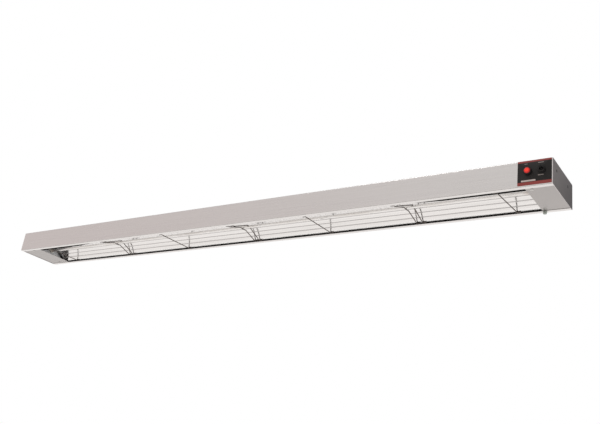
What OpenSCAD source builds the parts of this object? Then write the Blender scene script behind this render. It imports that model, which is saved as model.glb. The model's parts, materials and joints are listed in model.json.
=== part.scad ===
// Overhead strip food warmer: a long stainless housing with a radiant tube under a reflector.
// The origin is the middle of the top face, where the warmer meets the shelf that it hangs from.
// +X runs to the control end, -Y is the front face, +Z is up. Heights are measured from the lips.

/* [Housing] */
// Length over both end caps
body_length = 1829; // [1300:1:2400]
// Depth from the front face to the rear face
body_depth = 152.4; // [126:0.1:190]
// Height from the bottom lips to the top face
body_height = 63.5; // [52:0.1:90]
// Thickness of the stainless sheet
sheet = 0.9; // [0.7:0.1:1.2]
// Outside radius of the folds
fold_radius = 2; // [1.6:0.1:3]
// How far each bottom lip turns inwards
lip_depth = 12; // [8:0.5:16]
// How far the flanges of the end caps reach into the housing
cap_flange = 14; // [10:1:18]

/* [Bottom covers] */
// Length of the cover at the plain end
left_cover_length = 86; // [70:1:110]
// Length of the cover at the control end
right_cover_length = 65; // [50:1:80]
// Play between a cover and the walls around it
cover_play = 0.4; // [0.2:0.1:1]
// Width of the brackets that the cover screws bite into
bracket_width = 14; // [10:1:20]

/* [Reflector] */
// Gap between each lip and the edge of the reflector
reflector_gap = 6.5; // [4.5:0.5:10]
// Thickness of the reflector sheet
reflector_sheet = 0.8; // [0.5:0.1:1.2]
// Distance from the plain end to the reflector
left_zone = 68.6; // [60:0.1:90]
// Distance from the control end to the reflector
right_zone = 66; // [62:0.1:80]
// Open gap between the reflector and each of its end plates
end_gap = 5; // [3:0.5:8]

/* [Heating element] */
// Diameter of the metal sheath
element_diameter = 8; // [6:0.5:10]
// Drop of the element's axis below the reflector's crown
element_drop = 11; // [9:0.5:14]
// Diameter of the terminal pins
pin_diameter = 4; // [3:0.5:5]
// Length of each terminal pin beyond the sheath
pin_length = 18; // [16:1:20]

/* [Wire guards] */
// Diameter of the guard wire
wire_diameter = 2.5; // [2:0.1:3]
// Height of the straight wires above the undersides of the lips
wire_clearance = 0.3; // [0.1:0.1:1]
// Distance between the two wires of a pair
pair_spacing = 16.5; // [12:0.5:25]
// Length of the hooked ends of the wires
hook_length = 9; // [6:0.5:14]

/* [Controls] */
// Width of the control panel
panel_width = 76; // [70:1:90]
// Thickness of the control panel
panel_sheet = 0.8; // [0.5:0.1:1.5]
// Bare margin between the panel and the control end
panel_side_margin = 2; // [1:0.5:6]
// Bare margin under the panel
panel_bottom_margin = 3; // [2:0.5:8]
// Bare margin over the panel
panel_top_margin = 0.5; // [0:0.5:4]
// Drop of the switch and the pilot light below the top face
control_drop = 27.5; // [20:0.5:30]
// Distance of the toggle switch from the control end
switch_inset = 23.5; // [22:0.1:28]
// Distance of the pilot light from the control end
pilot_inset = 54.5; // [52:0.1:58]
// Diameter of the pilot light's lens
lens_diameter = 14; // [12:0.5:15]
// How far the pilot light's collar stands off the panel
pilot_collar = 6.5; // [2:0.5:10]
// How far the lens stands off the collar
lens_height = 3; // [2:0.5:8]
// Outside diameter of the switch bushing
switch_bushing_diameter = 11.9; // [10:0.1:12.5]
// Length of the toggle lever from its pivot to its tip
lever_length = 15; // [12:0.5:24]
// Angle of the toggle lever off the panel's normal in its two places
lever_tilt = 13; // [8:0.5:14]

/* [Fixing points] */
// Distance from each end to the hanging nuts in the top
mount_inset = 120; // [100:1:300]
// Distance between the hanging nuts across the top
mount_spacing = 101.6; // [80:0.1:104]
// Radius of the hanging nuts' bores
mount_bore = 3; // [2.5:0.5:4]
// Distance between the two bracket holes in each end cap
bracket_hole_spacing = 86; // [60:1:90]
// Height of the bracket holes above the lips
bracket_hole_height = 43; // [30:1:44]
// Shift of the bracket holes towards the front
bracket_hole_shift = 4; // [0:0.5:6]
// Radius of the bracket holes
bracket_hole_radius = 2.6; // [2:0.1:3.5]
// Radius of the bore in the power inlet's bushing
inlet_bore = 7.5; // [6:0.5:8]

/* [Hidden] */
$fn = 48;
// Clearance of a screw or a rivet in its hole
screw_play = 0.15;
// Clearance of a wire or a tube beside the piece that carries it
seat_play = 0.1;
// Length that a cutting tool runs past the sheet it cuts
cut = 1;
half_length = body_length / 2;
half_depth = body_depth / 2;
inner_depth = half_depth - sheet;
lip_edge = half_depth - lip_depth;
top_inside = body_height - sheet;

// Angles of the reflector's facets, from the edge up to the flat crown
facet_angles = [44, 40, 34, 15, 0];
function cos_sum(n) = n == 0 ? 0 : cos_sum(n - 1) + cos(facet_angles[n - 1]);
function sin_sum(n) = n == 0 ? 0 : sin_sum(n - 1) + sin(facet_angles[n - 1]);
facets = len(facet_angles);
reflector_half = lip_edge - reflector_gap;
reflector_edge_height = wire_clearance + wire_diameter + seat_play;
facet_width = reflector_half / cos_sum(facets);
function facet_point(n) = [
    reflector_half - facet_width * cos_sum(n),
    reflector_edge_height + facet_width * sin_sum(n)
];
crown_height = facet_point(facets)[1];
crown_half = facet_point(facets - 1)[0];
reflector_left = -half_length + left_zone;
reflector_right = half_length - right_zone;

// The element and the insulators that carry it
element_radius = element_diameter / 2;
element_height = crown_height - element_drop;
insulator_radius = element_radius + 3;
insulator_flange_radius = insulator_radius + 3;
insulator_flange = 3;
insulator_inner = 4;
insulator_outer = 6;
end_plate_left = reflector_left - end_gap;
end_plate_right = reflector_right + end_gap;
end_foot_width = 8;
sheath_stub = sheet + insulator_flange + insulator_outer + 3;
sheath_left = end_plate_left - sheath_stub;
sheath_right = end_plate_right + sheath_stub;
pin_radius = pin_diameter / 2;
pin_nut_width = pin_diameter + 3;
pin_nut_thickness = 3;
pin_nut_place = 6;
lug_gap = 1.2;

// Seven stations share the length: single guards at the even ones, pairs at the odd ones
stations = 7;
function station(n) = -half_length + (n + 0.5) * body_length / stations;
wire_radius = wire_diameter / 2;
wire_bend = 2.5;
wire_sides = 12;
wire_low = wire_clearance + wire_radius;
wire_reach = reflector_half + wire_radius + 1;
wire_off_axis = element_radius + wire_radius + seat_play;

// Controls
panel_height = body_height - panel_bottom_margin - panel_top_margin;
panel_right = half_length - panel_side_margin;
panel_front = half_depth + panel_sheet;
control_height = body_height - control_drop;
switch_x = half_length - switch_inset;
pilot_x = half_length - pilot_inset;
switch_radius = switch_bushing_diameter / 2;
switch_bore = switch_radius - 2.2;
switch_mouth = panel_front + 7;
switch_pivot = switch_mouth - 3.5;
switch_nut_radius = switch_radius + 3;
switch_nut_thickness = 2.6;
switch_body_width = 16;
switch_body_height = 29;
switch_body_depth = 26;
switch_body_front = inner_depth - 1.5;
switch_body_back = switch_body_front - switch_body_depth;
switch_well = 7;
tab_length = 8;
tab_width = 6.3;
tab_thickness = 0.8;
tab_spread = 7.5;
lever_ball = switch_bore - 0.35;
lever_root = 1.7;
lever_tip = 3;
pilot_radius = 6;
pilot_collar_radius = lens_diameter / 2 + 2;
pilot_body_depth = 26;
pilot_body_back = inner_depth - pilot_body_depth;
pilot_nut_radius = pilot_radius + 3;
pilot_nut_thickness = 2.5;
pilot_tab_spread = 3.4;
// The feet of the reflector's end plates pass behind the pilot light's tabs and leads
pilot_lead_room = 7.3;
end_foot_y = pilot_body_back - tab_length - pilot_lead_room - end_foot_width / 2;

// Screws
cover_screw_radius = 2;
cover_screw_length = 9;
cover_head_radius = 4;
cover_head = 1.6;
cover_screw_y = half_depth - 20.3;
rear_screw_y = half_depth - lip_depth * 0.6;
right_front_screw_x = half_length - 52;
right_rear_screw_x = half_length - 61;
left_screw_x = end_plate_left - 18;
hex_flange_radius = 5.5;
hex_flange = 1;
hex_width = 8;
hex_height = 4.5;
bracket_leg = 12;
cap_screw_radius = 2;
cap_screw_inset = sheet + cap_flange / 2;
cap_screw_low = 18;
cap_screw_top_drop = 13;
cap_head_radius = 4;
cap_head = 2;
cap_screw_length = 7;

// Reflector hangers and mounting nuts
hanger_width = 14;
hanger_length = 20;
rivet_radius = 1.6;
rivet_head_radius = 3;
rivet_head = 0.9;
mount_nut_radius = mount_bore + 2.6;
mount_nut_height = 6;
mount_x = half_length - mount_inset;

// Wiring space
block_length = 40;
block_depth = 22;
block_height = 16;
block_x = half_length - sheet - cap_flange - 2 - block_length / 2;
block_y = 24;
pole_spacing = 12;
inlet_x = half_length - 40;
inlet_radius = inlet_bore + 3.6;
inlet_flange_radius = inlet_radius + 2.4;
inlet_flange = 2;
inlet_depth = 10;
ground_radius = 2.5;
ground_head = 2;
ground_eye = ground_radius + 3.5;
ground_x = half_length - sheet - cap_flange - ground_eye - 1;
ground_height = body_height - 22;
inlet_height = ground_height - 9.5;
lead_radius = 1.5;
pilot_lead_radius = 1;
lead_bend = 5;
lead_sides = 10;
lead_lane_y = -(hanger_width / 2 + end_foot_y - end_foot_width / 2) / 2;
lead_lane_height = top_inside - 5;
clip_width = 8;

// Path maths: a corner becomes an arc, and a ring of points is carried along the path
function unit(v) = v / norm(v);
function bend(a, b, c, r, steps) =
    let (u = unit(a - b), v = unit(c - b), half = acos(u * v) / 2,
         centre = b + unit(u + v) * r / sin(half),
         start = unit(b + u * r / tan(half) - centre),
         end = unit(b + v * r / tan(half) - centre),
         side = unit(end - (end * start) * start),
         turn = 180 - 2 * half)
    [for (i = [0:steps]) centre + r * (cos(turn * i / steps) * start + sin(turn * i / steps) * side)];
function rounded(p, r, steps) = [
    p[0],
    for (i = [1:len(p) - 2]) each bend(p[i - 1], p[i], p[i + 1], r, steps),
    p[len(p) - 1]
];
function heading(p, i) =
    i == 0 ? unit(p[1] - p[0]) :
    i == len(p) - 1 ? unit(p[i] - p[i - 1]) :
    unit(unit(p[i] - p[i - 1]) + unit(p[i + 1] - p[i]));
function across(v, t) = unit(v - (v * t) * t);
function ring_normals(p, first) =
    [for (i = 0, n = across(first, heading(p, 0)); i < len(p);
          i = i + 1, n = across(n, heading(p, min(i, len(p) - 1)))) n];

module tube(p, r, sides, first = [0, 0, 1]) {
    normals = ring_normals(p, first);
    count = len(p);
    points = [for (i = [0:count - 1], k = [0:sides - 1])
        let (n = normals[i], b = cross(heading(p, i), n), a = 360 * (k + 0.5) / sides)
        p[i] + r * (cos(a) * n + sin(a) * b)];
    walls = [for (i = [0:count - 2], k = [0:sides - 1])
        let (m = (k + 1) % sides)
        [i * sides + k, (i + 1) * sides + k, (i + 1) * sides + m, i * sides + m]];
    start_cap = [for (k = [0:sides - 1]) k];
    end_cap = [for (k = [sides - 1:-1:0]) (count - 1) * sides + k];
    polyhedron(points, concat(walls, [start_cap, end_cap]), convexity = 6);
}

// Moves a piece drawn above the lips to its place under the top face
module hung() {
    translate([0, 0, -body_height]) children();
}
module along_x(x, y, z, length, r) {
    translate([x, y, z]) rotate([0, 90, 0]) cylinder(h = length, r = r);
}
module along_y(x, y, z, length, r) {
    translate([x, y, z]) rotate([-90, 0, 0]) cylinder(h = length, r = r);
}
module hexagon(width, h) {
    cylinder(h = h, r = width / sqrt(3), $fn = 6);
}
module round_rect(w, h, r) {
    square([w - 2 * r, h], center = true);
    square([w, h - 2 * r], center = true);
    for (i = [-1, 1], j = [-1, 1])
        translate([i * (w / 2 - r), j * (h / 2 - r)]) circle(r);
}
// Stands a drawing of the Y-Z section up and gives it a length along X
module section(x, length) {
    translate([x, 0, 0]) rotate([90, 0, 90]) linear_extrude(length) children();
}

module cap_screw_places(side) {
    for (z = [cap_screw_low, body_height - cap_screw_top_drop])
        translate([side * (half_length - cap_screw_inset), 0, z]) children();
}
module mount_places() {
    for (i = [-1, 1], j = [-1, 1])
        translate([i * mount_x, j * mount_spacing / 2, 0]) children();
}
module cover_bracket_places() {
    translate([right_front_screw_x, -cover_screw_y, 0]) children();
    for (j = [-1, 1]) translate([left_screw_x, j * cover_screw_y, 0]) children();
}

module housing() {
    long = body_length - 2 * sheet;
    color("silver") hung() difference() {
        section(-long / 2, long) difference() {
            translate([0, body_height / 2]) round_rect(body_depth, body_height, fold_radius);
            translate([0, body_height / 2])
                round_rect(2 * inner_depth, body_height - 2 * sheet, fold_radius - sheet);
            translate([-lip_edge, -cut]) square([2 * lip_edge, sheet + 2 * cut]);
        }
        along_y(switch_x, -half_depth - cut, control_height, sheet + 2 * cut, switch_radius + screw_play);
        along_y(pilot_x, -half_depth - cut, control_height, sheet + 2 * cut, pilot_radius + screw_play);
        along_y(inlet_x, inner_depth - cut, inlet_height, sheet + 2 * cut, inlet_radius + screw_play);
        along_y(ground_x, inner_depth - cut, ground_height, sheet + 2 * cut, ground_radius + screw_play);
        for (side = [-1, 1]) cap_screw_places(side)
            along_y(0, inner_depth - cut, 0, sheet + 2 * cut, cap_screw_radius + screw_play);
        mount_places() translate([0, 0, top_inside - cut]) cylinder(h = sheet + 2 * cut, r = mount_bore);
        translate([right_rear_screw_x, rear_screw_y, -cut])
            cylinder(h = sheet + 2 * cut, r = cover_screw_radius + screw_play);
    }
}

// An end cap: a plate over the end, with flanges under the top, behind the walls and over the cover
module end_cap(side) {
    flange_half = inner_depth - cover_play;
    flange_top = top_inside - cover_play;
    flange_floor = 2 * sheet + seat_play;
    color("dimgray") hung() mirror([side < 0 ? 1 : 0, 0, 0]) difference() {
        union() {
            section(half_length - sheet, sheet)
                translate([0, body_height / 2]) round_rect(body_depth, body_height, fold_radius);
            section(half_length - sheet - cap_flange, cap_flange) difference() {
                translate([0, (flange_floor + flange_top) / 2])
                    round_rect(2 * flange_half, flange_top - flange_floor, fold_radius);
                translate([-flange_half + sheet, flange_floor + sheet])
                    square([2 * (flange_half - sheet), flange_top - flange_floor - 2 * sheet]);
            }
        }
        for (j = [-1, 1])
            along_x(half_length - sheet - cut, -bracket_hole_shift + j * bracket_hole_spacing / 2,
                    bracket_hole_height, sheet + 2 * cut, bracket_hole_radius);
        cap_screw_places(1)
            along_y(0, flange_half - sheet - cut, 0, sheet + 2 * cut, cap_screw_radius + screw_play);
    }
}
module end_cap_left() { end_cap(-1); }
module end_cap_right() { end_cap(1); }

module end_cap_screws() {
    color("lightgray") hung() for (side = [-1, 1]) cap_screw_places(side) {
        along_y(0, half_depth - cap_screw_length, 0, cap_screw_length, cap_screw_radius);
        along_y(0, half_depth, 0, cap_head, cap_head_radius);
    }
}

// A cover lies on the lips, between the folds of the walls and the end cap
module cover_plate(low_x, high_x) {
    half = half_depth - fold_radius - cover_play;
    translate([low_x, -half, sheet]) cube([high_x - low_x, 2 * half, sheet]);
}
module cover_left() {
    color("gainsboro") hung() difference() {
        cover_plate(-half_length + sheet + cover_play, -half_length + left_cover_length);
        cover_bracket_places() cylinder(h = 4 * sheet, r = cover_screw_radius + screw_play);
    }
}
module cover_right() {
    color("gainsboro") hung() difference() {
        cover_plate(half_length - right_cover_length, half_length - sheet - cover_play);
        cover_bracket_places() cylinder(h = 4 * sheet, r = cover_screw_radius + screw_play);
        translate([right_rear_screw_x, rear_screw_y, 0])
            cylinder(h = 4 * sheet, r = cover_screw_radius + screw_play);
    }
}

// L brackets on the walls, over the covers, that the cover screws bite into
module cover_bracket(x, side, screw_y) {
    leg_y = inner_depth - seat_play;
    tongue = leg_y - screw_y + bracket_width / 2;
    floor_z = 2 * sheet + seat_play;
    difference() {
        translate([x, 0, 0]) mirror([0, side < 0 ? 1 : 0, 0]) {
            translate([-bracket_width / 2, leg_y - tongue, floor_z]) cube([bracket_width, tongue, sheet]);
            translate([-bracket_width / 2, leg_y - sheet, floor_z])
                cube([bracket_width, sheet, bracket_leg]);
        }
        translate([x, side * screw_y, 0]) cylinder(h = 8 * sheet, r = cover_screw_radius + seat_play);
    }
}
module cover_brackets() {
    color("darkgray") hung() {
        cover_bracket(right_front_screw_x, -1, cover_screw_y);
        cover_bracket(right_rear_screw_x, 1, rear_screw_y);
        for (side = [-1, 1]) cover_bracket(left_screw_x, side, cover_screw_y);
    }
}
module cover_screws() {
    color("lightgray") hung() cover_bracket_places() {
        translate([0, 0, sheet]) cylinder(h = cover_screw_length, r = cover_screw_radius);
        translate([0, 0, sheet - cover_head]) cylinder(h = cover_head, r = cover_head_radius);
    }
}
module cover_hex_screw() {
    color("darkslategray") hung() translate([right_rear_screw_x, rear_screw_y, 0]) {
        cylinder(h = cover_screw_length, r = cover_screw_radius);
        translate([0, 0, -hex_flange]) cylinder(h = hex_flange, r = hex_flange_radius);
        translate([0, 0, -hex_flange - hex_height]) hexagon(hex_width, hex_height);
    }
}

// The reflector's section: facets up one side, across the crown and down the other side
function reflector_points(lift) = concat(
    [for (n = [0:facets - 1]) facet_point(n) + [0, lift]],
    [for (n = [facets - 1:-1:0]) [-facet_point(n)[0], facet_point(n)[1] + lift]]
);
function backwards(list) = [for (i = [len(list) - 1:-1:0]) list[i]];
module reflector() {
    long = reflector_right - reflector_left;
    color("whitesmoke") hung() difference() {
        section(reflector_left, long)
            polygon(concat(reflector_points(reflector_sheet), backwards(reflector_points(0))));
        for (n = [0:2:stations - 1]) translate([station(n), 0, crown_height - cut])
            cylinder(h = reflector_sheet + 2 * cut, r = rivet_radius + screw_play);
    }
}
// A plate that closes one end of the reflector and carries the element's insulator
module reflector_end(x) {
    plate_low = 2 * sheet + seat_play;
    plate_rim = reflector_sheet + 2;
    color("silver") hung() difference() {
        union() {
            section(x, sheet) polygon(concat(
                [[reflector_half, plate_low]],
                reflector_points(plate_rim),
                [[-reflector_half, plate_low]]
            ));
            for (j = [-1, 1]) translate([x, j * end_foot_y - end_foot_width / 2, plate_low])
                cube([sheet, end_foot_width, top_inside - seat_play - plate_low]);
        }
        along_x(x - cut, 0, element_height, sheet + 2 * cut, insulator_radius + screw_play);
    }
}
module reflector_end_left() { reflector_end(end_plate_left - sheet); }
module reflector_end_right() { reflector_end(end_plate_right); }

// Folded hangers between the housing's top and the reflector's crown
module reflector_hangers() {
    low = crown_height + reflector_sheet;
    high = top_inside;
    color("darkgray") hung() for (n = [0:2:stations - 1]) translate([station(n), 0, 0]) difference() {
        union() {
            translate([-hanger_length / 2, -hanger_width / 2, low]) cube([hanger_length, hanger_width, sheet]);
            translate([hanger_length / 2 - sheet, -hanger_width / 2, low])
                cube([sheet, hanger_width, high - low]);
            translate([hanger_length / 2 - sheet, -hanger_width / 2, high - sheet])
                cube([hanger_length, hanger_width, sheet]);
        }
        translate([0, 0, low - cut]) cylinder(h = sheet + 2 * cut, r = rivet_radius + screw_play);
    }
}
module hanger_rivets() {
    stack = reflector_sheet + sheet;
    color("lightgray") hung() for (n = [0:2:stations - 1]) translate([station(n), 0, crown_height]) {
        cylinder(h = stack, r = rivet_radius);
        translate([0, 0, -rivet_head]) cylinder(h = rivet_head, r = rivet_head_radius);
        translate([0, 0, stack]) cylinder(h = rivet_head, r = rivet_head_radius);
    }
}

module element_tube() {
    color("gainsboro") hung()
        along_x(sheath_left, 0, element_height, sheath_right - sheath_left, element_radius);
}
module insulator(x, side) {
    color("linen") hung() translate([x, 0, element_height]) rotate([0, side * 90, 0]) difference() {
        union() {
            translate([0, 0, -insulator_inner])
                cylinder(h = insulator_inner + sheet + insulator_outer, r = insulator_radius);
            translate([0, 0, sheet]) cylinder(h = insulator_flange, r = insulator_flange_radius);
        }
        translate([0, 0, -insulator_inner - cut])
            cylinder(h = 4 * insulator_outer, r = element_radius + seat_play);
    }
}
module insulator_left() { insulator(end_plate_left, -1); }
module insulator_right() { insulator(end_plate_right, 1); }
module terminal_pins() {
    color("gold") hung() {
        along_x(sheath_left - pin_length, 0, element_height, pin_length, pin_radius);
        along_x(sheath_right, 0, element_height, pin_length, pin_radius);
    }
}
// Two nuts on each pin grip the eye of the lead between them
module terminal_nuts() {
    inner = pin_nut_place;
    outer = pin_nut_place + pin_nut_thickness + lug_gap;
    color("silver") hung() for (side = [-1, 1], place = [inner, outer])
        translate([side < 0 ? sheath_left - place : sheath_right + place, 0, element_height])
            rotate([0, side * 90, 0]) difference() {
                hexagon(pin_nut_width, pin_nut_thickness);
                translate([0, 0, -cut]) cylinder(h = 4 * pin_nut_thickness, r = pin_radius + 0.01);
            }
}

// A single guard: straight across under the reflector's edges, hooked along them at both ends
module guard_wire(n) {
    x = station(n);
    color("gray") hung() tube(rounded([
        [x - hook_length, -wire_reach, wire_low],
        [x, -wire_reach, wire_low],
        [x, wire_reach, wire_low],
        [x + hook_length, wire_reach, wire_low]
    ], wire_bend, 6), wire_radius, wire_sides);
}
module guard_wire_1() { guard_wire(0); }
module guard_wire_2() { guard_wire(2); }
module guard_wire_3() { guard_wire(4); }
module guard_wire_4() { guard_wire(6); }

// A cradle rises to a dip under the element, and carries it
module cradle_wire(n) {
    x = station(n);
    shoulder = 3 * element_radius;
    dip = element_height - wire_off_axis;
    color("gray") hung() tube(rounded([
        [x - hook_length, -wire_reach, wire_low],
        [x, -wire_reach, wire_low],
        [x, -reflector_half + wire_bend, wire_low],
        [x, -shoulder, dip + wire_radius],
        [x, 0, dip],
        [x, shoulder, dip + wire_radius],
        [x, reflector_half - wire_bend, wire_low],
        [x, wire_reach, wire_low],
        [x + hook_length, wire_reach, wire_low]
    ], wire_bend, 4), wire_radius, wire_sides);
}
module cradle_wire_1() { cradle_wire(1); }
module cradle_wire_2() { cradle_wire(3); }
module cradle_wire_3() { cradle_wire(5); }

// A retainer rises over the element and holds it down: its legs are tangent to an arc around it
module retainer_wire(n) {
    x = station(n) + pair_spacing;
    foot = reflector_half - wire_bend;
    rise = element_height - wire_low;
    slope = atan(rise / foot) + asin(wire_off_axis / norm([foot, rise]));
    color("gray") hung() tube(rounded([
        [x - hook_length, -wire_reach, wire_low],
        [x, -wire_reach, wire_low],
        [x, -foot, wire_low],
        [x, 0, wire_low + foot * tan(slope)],
        [x, foot, wire_low],
        [x, wire_reach, wire_low],
        [x + hook_length, wire_reach, wire_low]
    ], wire_bend, 4), wire_radius, wire_sides);
}
module retainer_wire_1() { retainer_wire(1); }
module retainer_wire_2() { retainer_wire(3); }
module retainer_wire_3() { retainer_wire(5); }

module control_panel() {
    color("black") hung() difference() {
        translate([panel_right - panel_width, -panel_front, panel_bottom_margin])
            cube([panel_width, panel_sheet, panel_height]);
        along_y(switch_x, -panel_front - cut, control_height, panel_sheet + 2 * cut, switch_radius + screw_play);
        along_y(pilot_x, -panel_front - cut, control_height, panel_sheet + 2 * cut, pilot_radius + screw_play);
    }
}
// The pilot light: a red lens on a black collar, and a body held by a nut behind the wall
module pilot_lens() {
    radius = lens_diameter / 2;
    dome = min(lens_height - 0.5, 3);
    front = panel_front + pilot_collar;
    color("red") hung() translate([pilot_x, -front, control_height]) rotate([90, 0, 0])
        rotate_extrude() {
            square([radius, lens_height - dome]);
            square([radius - dome, lens_height]);
            translate([radius - dome, lens_height - dome]) intersection() {
                circle(dome);
                square(dome);
            }
        }
}
module pilot_body() {
    color("dimgray") hung() {
        along_y(pilot_x, -panel_front - pilot_collar, control_height, pilot_collar, pilot_collar_radius);
        along_y(pilot_x, -panel_front, control_height, panel_front - pilot_body_back, pilot_radius);
        for (j = [-1, 1])
            translate([pilot_x - tab_thickness * 2, -pilot_body_back,
                       control_height + j * pilot_tab_spread - tab_thickness / 2])
                cube([tab_thickness * 4, tab_length, tab_thickness]);
    }
}
module pilot_nut() {
    color("black") hung() difference() {
        translate([pilot_x, -inner_depth, control_height]) rotate([-90, 0, 0])
            hexagon(2 * pilot_nut_radius, pilot_nut_thickness);
        along_y(pilot_x, -inner_depth - cut, control_height, 8 * cut, pilot_radius + 0.02);
    }
}

// The toggle switch: body, threaded bushing, dress nut and the lever that moves
module switch_body() {
    color("saddlebrown") hung() difference() {
        union() {
            translate([switch_x - switch_body_width / 2, -switch_body_front,
                       control_height - switch_body_height / 2])
                cube([switch_body_width, switch_body_depth, switch_body_height]);
            for (j = [-1, 1])
                translate([switch_x - tab_width / 2, -switch_body_back,
                           control_height + j * tab_spread - tab_thickness / 2])
                    cube([tab_width, tab_length, tab_thickness]);
        }
        translate([switch_x - switch_bore, -switch_body_front - cut, control_height - switch_body_height / 4])
            cube([2 * switch_bore, switch_well + cut, switch_body_height / 2]);
    }
}
module switch_bushing() {
    color("silver") hung() difference() {
        along_y(switch_x, -switch_mouth, control_height, switch_mouth - switch_body_front, switch_radius);
        along_y(switch_x, -switch_mouth - cut, control_height,
                switch_mouth - switch_body_front + 2 * cut, switch_bore);
    }
}
module switch_nut() {
    color("black") hung() difference() {
        along_y(switch_x, -panel_front - switch_nut_thickness, control_height,
                switch_nut_thickness, switch_nut_radius);
        along_y(switch_x, -panel_front - switch_nut_thickness - cut, control_height,
                switch_nut_thickness + 2 * cut, switch_radius + 0.02);
    }
}
module switch_lever() {
    arm = lever_length - lever_tip;
    inner_arm = 5;
    color("black") hung() translate([switch_x, -switch_pivot, control_height])
        rotate([90 - lever_tilt, 0, 0]) {
            sphere(lever_ball);
            cylinder(h = arm, r1 = lever_root, r2 = lever_tip);
            translate([0, 0, arm]) sphere(lever_tip);
            translate([0, 0, -inner_arm]) cylinder(h = inner_arm, r = lever_root);
        }
}

// Ceramic terminal block under the top, with three poles
module terminal_block() {
    low = top_inside - seat_play - block_height;
    color("ivory") hung() difference() {
        translate([block_x - block_length / 2, block_y - block_depth / 2, low])
            cube([block_length, block_depth, block_height]);
        for (p = [-1:1]) {
            translate([block_x + p * pole_spacing, block_y, low - cut]) cylinder(h = 7, r = 3);
            along_y(block_x + p * pole_spacing, block_y - block_depth / 2 - cut, low + 7,
                    block_depth + 2 * cut, lead_radius + seat_play);
        }
    }
}
module terminal_screws() {
    low = top_inside - seat_play - block_height;
    color("gold") hung() for (p = [-1:1])
        translate([block_x + p * pole_spacing, block_y, low + 1]) cylinder(h = 3.5, r = 2.6);
}

function block_pole(p) = [
    block_x + p * pole_spacing,
    block_y,
    top_inside - seat_play - block_height + 7
];
eye_radius = pin_radius + 2.6;
eye_x_right = sheath_right + pin_nut_place + pin_nut_thickness + lug_gap / 2;
eye_x_left = sheath_left - pin_nut_place - pin_nut_thickness - lug_gap / 2;
// A crimped eye on a terminal pin, and the lead that leaves it
module eye(x) {
    difference() {
        along_x(x - lug_gap / 2 + seat_play / 2, 0, element_height, lug_gap - seat_play, eye_radius);
        along_x(x - 2, 0, element_height, 4, pin_radius + seat_play);
    }
}
module line_lead() {
    pole = block_pole(1);
    tab = control_height + tab_spread;
    color("black") hung() tube(rounded([
        pole + [0, 0, 0],
        [pole[0], block_y - block_depth / 2 - 8, pole[2]],
        [switch_x, -switch_body_back + tab_length + 8, tab],
        [switch_x, -switch_body_back + tab_length + seat_play, tab]
    ], lead_bend, 4), lead_radius, lead_sides);
}
module switched_lead() {
    tab = control_height - tab_spread;
    high = element_height + eye_radius + lead_radius;
    color("firebrick") hung() {
        eye(eye_x_right);
        tube(rounded([
            [eye_x_right, -0.5, element_height + eye_radius - 0.3],
            [eye_x_right, -0.5, high + 4],
            [switch_x, -switch_body_back + tab_length + 10, tab],
            [switch_x, -switch_body_back + tab_length + seat_play, tab]
        ], 3, 4), lead_radius, lead_sides, [0, 1, 0]);
    }
}
// The lead from the plain end runs the whole length over the reflector
module return_lead() {
    pole = block_pole(-1);
    color("white") hung() {
        eye(eye_x_left);
        tube(rounded([
            [eye_x_left, 0, element_height + eye_radius - 0.3],
            [eye_x_left, 0, lead_lane_height - 12],
            [eye_x_left + 14, lead_lane_y, lead_lane_height],
            [pole[0] - 34, lead_lane_y, lead_lane_height],
            [pole[0], -8, pole[2]],
            pole
        ], lead_bend, 4), lead_radius, lead_sides, [1, 0, 0]);
    }
}
module pilot_lead_live() {
    tab = control_height - tab_spread;
    start = -pilot_body_back + tab_length + seat_play;
    color("firebrick") hung() tube(rounded([
        [pilot_x, start, control_height - pilot_tab_spread],
        [pilot_x, start + 3.5, control_height - pilot_tab_spread],
        [switch_x - 5.2, -switch_body_back + tab_length + 6, tab - 4],
        [switch_x - 5.2, -switch_body_back + 3, tab]
    ], 3, 4), pilot_lead_radius, lead_sides);
}
module pilot_lead_neutral() {
    pole = block_pole(-1);
    start = -pilot_body_back + tab_length + seat_play;
    color("white") hung() tube(rounded([
        [pilot_x, start, control_height + pilot_tab_spread],
        [pilot_x, start + 3.5, control_height + pilot_tab_spread],
        [pole[0] + 5, block_y - block_depth / 2 - 14, pole[2] - 4],
        [pole[0] + 5, block_y - block_depth / 2 - 2 * seat_play, pole[2] - 4]
    ], 3, 4), pilot_lead_radius, lead_sides);
}
module ground_lead() {
    pole = block_pole(0);
    eye_y = inner_depth - 2.2;
    color("green") hung() {
        difference() {
            along_y(ground_x, eye_y, ground_height, 1, ground_eye);
            along_y(ground_x, eye_y - cut, ground_height, 4, ground_radius + seat_play);
        }
        tube(rounded([
            pole,
            [pole[0], block_y + block_depth / 2 + 12, pole[2]],
            [ground_x - ground_eye - 4, eye_y + 0.5 - lead_radius, ground_height],
            [ground_x - ground_eye + 1, eye_y + 0.5 - lead_radius, ground_height]
        ], 3, 4), lead_radius, lead_sides);
    }
}
module ground_screw() {
    color("seagreen") hung() {
        along_y(ground_x, inner_depth - 8, ground_height, 8 + sheet, ground_radius);
        along_y(ground_x, half_depth, ground_height, ground_head, ground_radius + 2.2);
    }
}
module ground_nut() {
    color("silver") hung() difference() {
        translate([ground_x, inner_depth - 2.3 - 3.5, ground_height]) rotate([-90, 0, 0]) hexagon(8, 3.5);
        along_y(ground_x, inner_depth - 12, ground_height, 14, ground_radius + 0.02);
    }
}
// Snap bushing in the rear wall, where the supply comes in
module inlet_bushing() {
    color("black") hung() difference() {
        union() {
            along_y(inlet_x, inner_depth - inlet_depth, inlet_height, inlet_depth + sheet, inlet_radius);
            along_y(inlet_x, half_depth, inlet_height, inlet_flange, inlet_flange_radius);
            along_y(inlet_x, inner_depth - 2.5, inlet_height, 2.4, inlet_radius + 0.8);
        }
        along_y(inlet_x, inner_depth - inlet_depth - cut, inlet_height, 3 * inlet_depth, inlet_bore);
    }
}
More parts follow.
